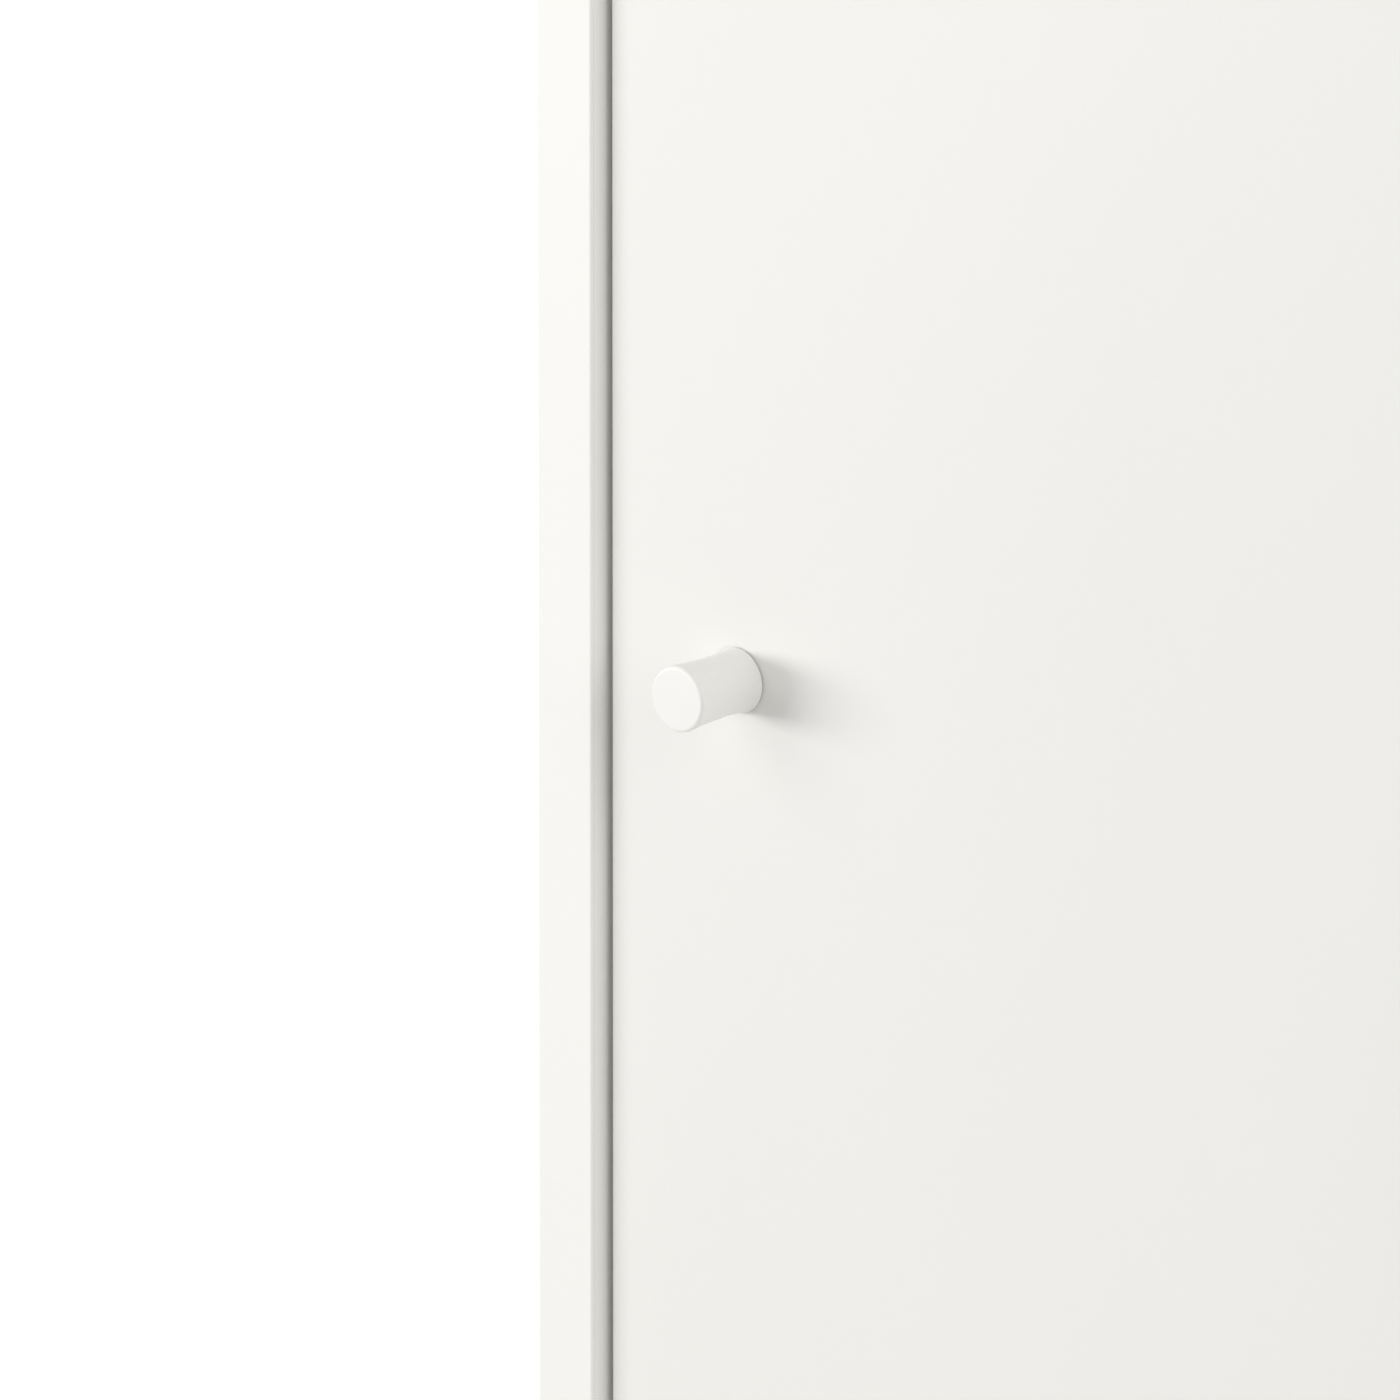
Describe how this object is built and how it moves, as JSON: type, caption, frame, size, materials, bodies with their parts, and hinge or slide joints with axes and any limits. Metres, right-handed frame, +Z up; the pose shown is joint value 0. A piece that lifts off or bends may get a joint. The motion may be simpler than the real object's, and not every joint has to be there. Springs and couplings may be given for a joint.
{
  "type": "sliding door wardrobe",
  "caption": "Plain white wardrobe with overlapping sliding doors on tracks, small round knobs, a hanging bay with hat shelf and a bay of shelves.",
  "frame": {"origin": "on the floor, below the centre of the whole object with its knobs", "axes": "+X to the right seen from the front, +Y towards the wall behind, +Z up"},
  "size_m": [1.17, 0.568, 1.76],
  "materials": {
    "white_board": "white foil on particle board, satin",
    "door_board": "white lacquer foil, satin",
    "back_board": "white printed hardboard",
    "knob_plastic": "white, satin",
    "white_plastic": "white moulded",
    "grey_plastic": "grey moulded",
    "dark_plastic": "dark moulded",
    "roller_nylon": "natural nylon",
    "soft_rubber": "translucent soft pad",
    "track_aluminium": "anodised extrusion",
    "rail_chrome": "polished tube",
    "zinc_steel": "zinc plated",
    "cast_zinc": "die cast",
    "spring_steel": "spring wire",
    "beech": "plain beech"
  },
  "bodies": {
    "carcass": {"side_panel_left": "white_board", "side_panel_right": "white_board", "top_panel": "white_board", "bottom_panel": "white_board", "partition_panel": "white_board", "plinth_front": "white_board", "plinth_rear": "white_board", "hat_shelf": "white_board", "fixed_shelf": "white_board", "adjustable_shelf_lower": "white_board", "adjustable_shelf_middle": "white_board", "adjustable_shelf_upper": "white_board", "back_panel_left": "back_board", "back_panel_right": "back_board", "back_joint_strip": "white_plastic", "clothes_rail": "rail_chrome", "rail_socket_left": "grey_plastic", "rail_socket_right": "grey_plastic", "top_track": "track_aluminium", "bottom_track": "track_aluminium", "track_stops": "grey_plastic", "door_buffers": "soft_rubber", "foot_glides": "dark_plastic", "wall_brackets": "zinc_steel", "cam_locks": "cast_zinc", "cam_bolts": "zinc_steel", "cam_caps": "white_plastic", "dowels": "beech", "shelf_pins": "zinc_steel", "back_nails": "zinc_steel", "carcass_screws": "zinc_steel"},
    "front_door": {"front_door_panel": "door_board", "front_door_knob": "knob_plastic", "front_knob_screw": "zinc_steel", "front_roller_housings": "white_plastic", "front_roller_axles": "zinc_steel", "front_roller_adjusters": "zinc_steel", "front_guide_housings": "white_plastic", "front_guide_spring_left": "spring_steel", "front_guide_spring_right": "spring_steel", "front_fitting_screws": "zinc_steel"},
    "front_roller_left": {"front_roller_wheel_left": "roller_nylon"},
    "front_guide_left": {"front_guide_pin_left": "roller_nylon"},
    "front_roller_right": {"front_roller_wheel_right": "roller_nylon"},
    "front_guide_right": {"front_guide_pin_right": "roller_nylon"},
    "rear_door": {"rear_door_panel": "door_board", "rear_door_knob": "knob_plastic", "rear_knob_screw": "zinc_steel", "rear_roller_housings": "white_plastic", "rear_roller_axles": "zinc_steel", "rear_roller_adjusters": "zinc_steel", "rear_guide_housings": "white_plastic", "rear_guide_spring_left": "spring_steel", "rear_guide_spring_right": "spring_steel", "rear_fitting_screws": "zinc_steel"},
    "rear_roller_left": {"rear_roller_wheel_left": "roller_nylon"},
    "rear_guide_left": {"rear_guide_pin_left": "roller_nylon"},
    "rear_roller_right": {"rear_roller_wheel_right": "roller_nylon"},
    "rear_guide_right": {"rear_guide_pin_right": "roller_nylon"}
  },
  "joints": [
    {"name": "front_door_slide", "type": "slide", "parent": "carcass", "child": "front_door", "axis": [1, 0, 0], "range_m": [0, 0.495]},
    {"name": "front_roller_left_spin", "type": "hinge", "parent": "front_door", "child": "front_roller_left", "pos_m": [-0.505, -0.253, 0.09755], "axis": [0, 1, 0], "range_deg": [-1, 2370]},
    {"name": "front_guide_left_press", "type": "slide", "parent": "front_door", "child": "front_guide_left", "axis": [0, 0, -1], "range_m": [0, 0.009], "stiffness_N_per_m": 400, "springref_m": -0.005, "deforming": ["front_guide_spring_left"]},
    {"name": "front_roller_right_spin", "type": "hinge", "parent": "front_door", "child": "front_roller_right", "pos_m": [-0.045, -0.253, 0.09755], "axis": [0, 1, 0], "range_deg": [-1, 2370]},
    {"name": "front_guide_right_press", "type": "slide", "parent": "front_door", "child": "front_guide_right", "axis": [0, 0, -1], "range_m": [0, 0.009], "stiffness_N_per_m": 400, "springref_m": -0.005, "deforming": ["front_guide_spring_right"]},
    {"name": "rear_door_slide", "type": "slide", "parent": "carcass", "child": "rear_door", "axis": [1, 0, 0], "range_m": [-0.495, 0]},
    {"name": "rear_roller_left_spin", "type": "hinge", "parent": "rear_door", "child": "rear_roller_left", "pos_m": [0.045, -0.232, 0.09755], "axis": [0, 1, 0], "range_deg": [-2370, 1]},
    {"name": "rear_guide_left_press", "type": "slide", "parent": "rear_door", "child": "rear_guide_left", "axis": [0, 0, -1], "range_m": [0, 0.009], "stiffness_N_per_m": 400, "springref_m": -0.005, "deforming": ["rear_guide_spring_left"]},
    {"name": "rear_roller_right_spin", "type": "hinge", "parent": "rear_door", "child": "rear_roller_right", "pos_m": [0.505, -0.232, 0.09755], "axis": [0, 1, 0], "range_deg": [-2370, 1]},
    {"name": "rear_guide_right_press", "type": "slide", "parent": "rear_door", "child": "rear_guide_right", "axis": [0, 0, -1], "range_m": [0, 0.009], "stiffness_N_per_m": 400, "springref_m": -0.005, "deforming": ["rear_guide_spring_right"]}
  ],
  "couplings": [
    {"joint": "front_roller_left_spin", "follows": "front_door_slide", "rad_per_m": 83.333},
    {"joint": "front_roller_right_spin", "follows": "front_door_slide", "rad_per_m": 83.333},
    {"joint": "rear_roller_left_spin", "follows": "rear_door_slide", "rad_per_m": 83.333},
    {"joint": "rear_roller_right_spin", "follows": "rear_door_slide", "rad_per_m": 83.333}
  ]
}
